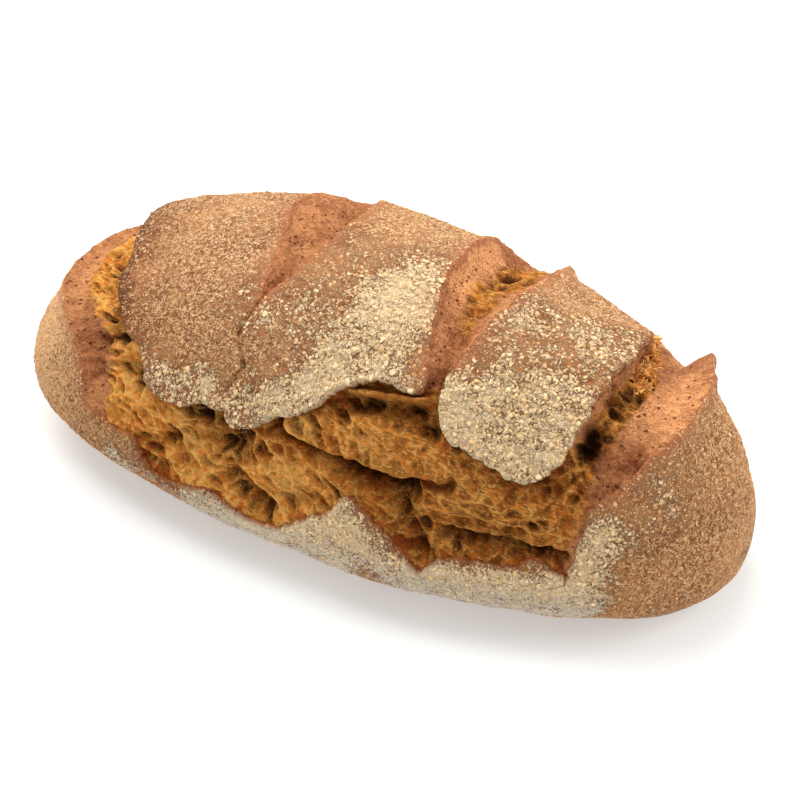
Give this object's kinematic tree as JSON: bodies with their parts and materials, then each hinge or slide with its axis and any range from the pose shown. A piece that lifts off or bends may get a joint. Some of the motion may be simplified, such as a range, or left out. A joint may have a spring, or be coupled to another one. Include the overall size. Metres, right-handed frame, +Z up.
{
  "type": "sourdough bread loaf",
  "caption": "Long free-baked sourdough loaf with a flat base, slashes across its crust and a wide burst tear along one side showing the crumb.",
  "frame": {"origin": "middle of the loaf's outline seen from above, on its flat base", "axes": "+X along the loaf towards its blunter, eared end; the torn side faces -Y; +Z up"},
  "size_m": [0.2902, 0.1462, 0.1055],
  "materials": {
    "crust": "baked crust, matt, floured in places, with a rough golden crumb in the tears"
  },
  "bodies": {
    "root": {"loaf": "crust"}
  },
  "joints": []
}
